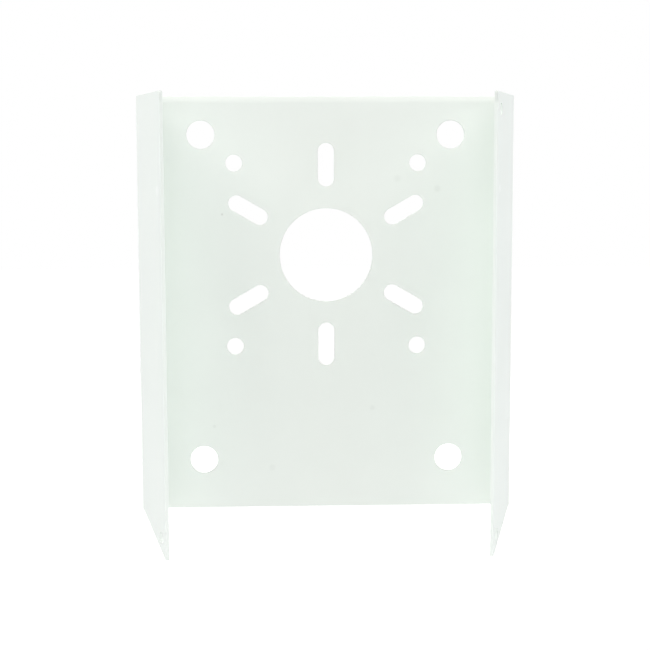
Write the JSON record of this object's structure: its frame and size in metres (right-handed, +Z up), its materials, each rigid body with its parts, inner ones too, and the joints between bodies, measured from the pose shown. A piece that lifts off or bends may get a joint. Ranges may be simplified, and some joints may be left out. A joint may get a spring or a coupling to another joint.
{
  "type": "camera mount bracket",
  "caption": "Folded sheet-metal bracket: a drilled and slotted plate between two inward-leaning side flanges with pointed lower ends, and a short lip on top.",
  "frame": {"origin": "centre of the cable hole, on the plate's outside face", "axes": "+Y straight out of the plate's flat outside face, +Z up, towards the plate's end with the square flange corners, X across the plate; the flanges reach towards -Y and the short lip on top towards +Y"},
  "size_m": [0.16, 0.0455, 0.1911],
  "materials": {
    "coated_steel": "fine white powder coat, satin"
  },
  "bodies": {
    "root": {"bracket": "coated_steel"}
  },
  "joints": []
}
